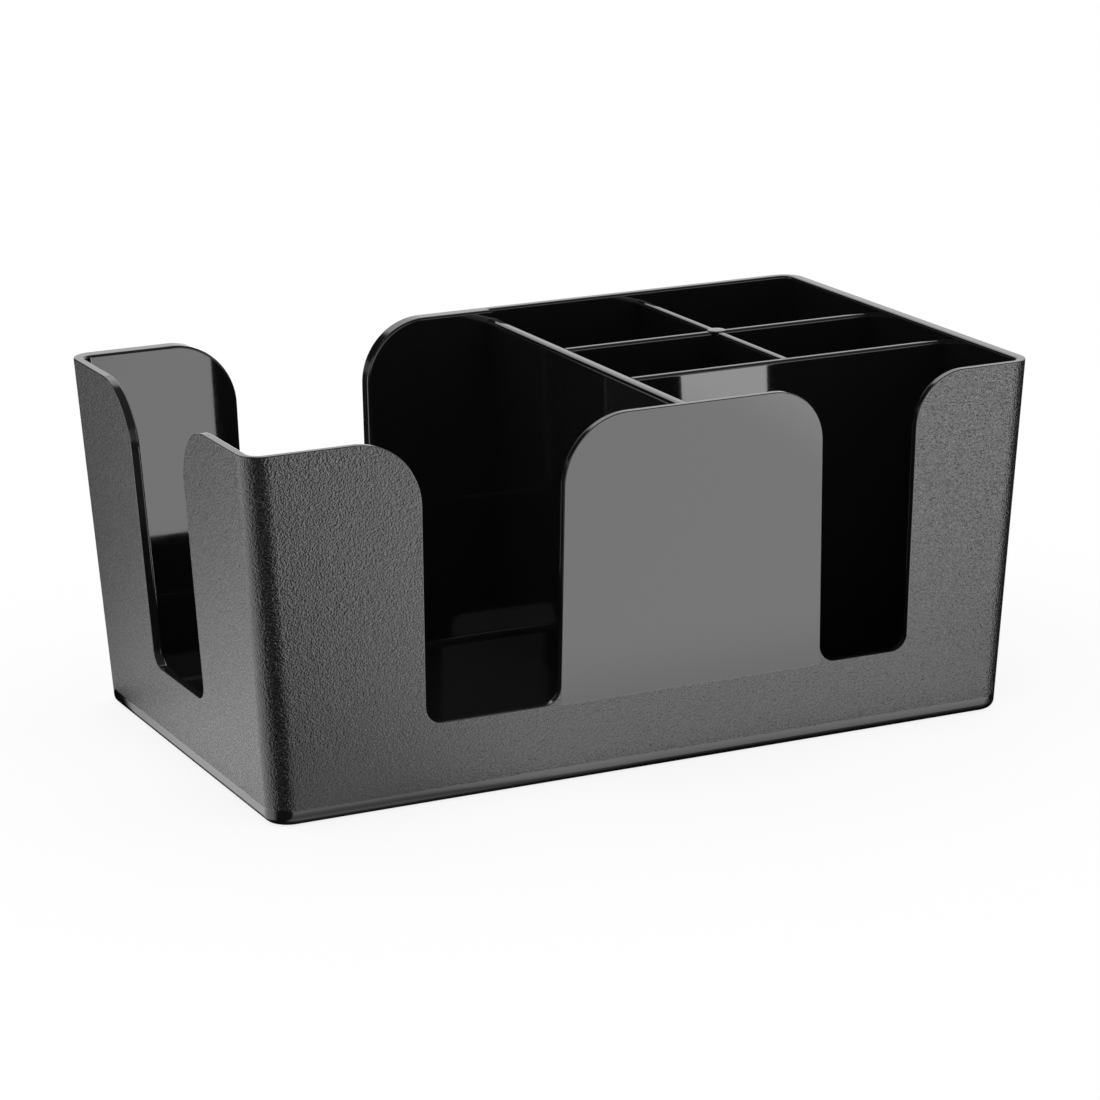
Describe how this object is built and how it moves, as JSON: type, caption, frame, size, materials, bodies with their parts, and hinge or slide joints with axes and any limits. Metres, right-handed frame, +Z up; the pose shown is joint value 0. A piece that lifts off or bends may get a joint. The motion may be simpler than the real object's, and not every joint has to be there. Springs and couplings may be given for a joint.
{
  "type": "bar caddy",
  "caption": "Open black plastic bar caddy with leaning walls, a napkin bay with finger slots on its open sides, a straw compartment with its own slot and a grid of small compartments.",
  "frame": {"origin": "middle of the base, on the surface that the standing rim rests on", "axes": "+X along the caddy from the napkin bay to the closed end, +Y from the front with two finger slots to the rear with one, +Z up"},
  "size_m": [0.242, 0.144, 0.105],
  "materials": {
    "tub": "black moulded plastic, fine grain on the outer walls, smooth gloss on the tongue and inside",
    "dividers": "black moulded plastic, smooth gloss"
  },
  "bodies": {
    "root": {"caddy_tub": "tub", "napkin_partition": "dividers", "front_long_divider": "dividers", "rear_long_divider": "dividers", "cross_divider": "dividers"}
  },
  "joints": []
}
